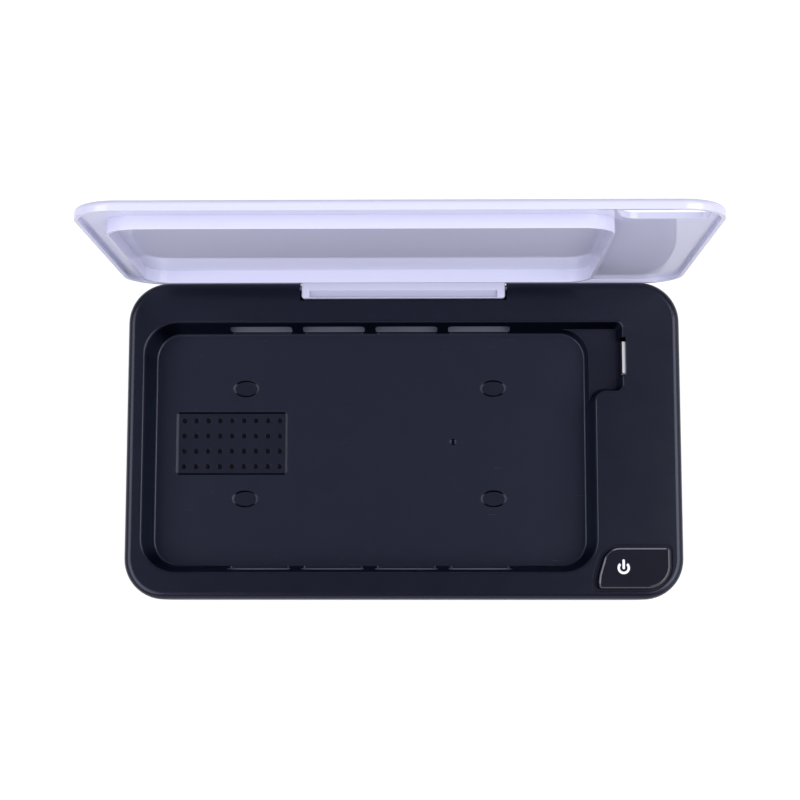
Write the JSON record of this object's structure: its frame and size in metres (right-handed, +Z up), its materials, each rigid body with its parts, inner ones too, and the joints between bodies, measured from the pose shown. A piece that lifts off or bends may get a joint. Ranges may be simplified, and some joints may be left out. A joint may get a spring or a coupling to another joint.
{
  "type": "uv sanitizer box for phones",
  "caption": "Low round-cornered box with a phone tray, lamp slots, a charging pocket and a power button, under a hinged dished lid that stands open.",
  "frame": {"origin": "on the table, under the middle of the open box's outline", "axes": "+X to the right along the length of the box, +Y to the hinge side, +Z up"},
  "size_m": [0.22, 0.1302, 0.1568],
  "materials": {
    "black_housing": "satin black moulding",
    "black_button": "polished black moulding",
    "white_lid": "glossy cool white moulding",
    "foot_rubber": "matte black rubber",
    "screw_steel": "plated steel",
    "socket_steel": "bright nickel-plated steel",
    "socket_white": "white insulator",
    "contact_brass": "gold-plated contacts",
    "circuit_board": "black solder mask",
    "dark_plastic": "dark moulded plastic",
    "clear_lens": "diffused clear lens",
    "pad_felt": "dark pressed felt",
    "magnet_nickel": "nickel-plated magnet",
    "lamp_glass": "clear quartz tube",
    "reflector_aluminium": "bright rolled sheet",
    "holder_rubber": "pale silicone rubber"
  },
  "bodies": {
    "base": {"board_screws": "screw_steel", "bottom_cover": "black_housing", "charging_socket_contacts": "contact_brass", "charging_socket_shell": "socket_steel", "charging_socket_tongue": "socket_white", "control_board": "circuit_board", "driver_board": "circuit_board", "driver_capacitor": "dark_plastic", "driver_screws": "screw_steel", "driver_transformer": "dark_plastic", "fragrance_cup": "dark_plastic", "fragrance_pad": "pad_felt", "housing_screws": "screw_steel", "inlet_shell": "socket_steel", "inlet_tongue": "dark_plastic", "lamp_holder_front_left": "holder_rubber", "lamp_holder_front_right": "holder_rubber", "lamp_holder_rear_left": "holder_rubber", "lamp_holder_rear_right": "holder_rubber", "lid_sensor": "dark_plastic", "reflector_front": "reflector_aluminium", "reflector_rear": "reflector_aluminium", "rubber_feet": "foot_rubber", "status_led": "clear_lens", "tact_switch": "dark_plastic", "upper_housing": "black_housing", "uv_lamp_front": "lamp_glass", "uv_lamp_rear": "lamp_glass"},
    "lid": {"lid_shell": "white_lid", "hinge_pin_left": "screw_steel", "hinge_pin_right": "screw_steel", "lid_magnet": "magnet_nickel"},
    "button": {"button_cap": "black_button", "switch_plunger": "dark_plastic"}
  },
  "joints": [
    {"name": "lid_hinge", "type": "hinge", "parent": "base", "child": "lid", "pos_m": [0, 0.05883, 0.03295], "axis": [1, 0, 0], "range_deg": [0, 90]},
    {"name": "button_press", "type": "slide", "parent": "base", "child": "button", "axis": [0, 0, -1], "range_m": [0, 0.0005], "stiffness_N_per_m": 800}
  ]
}
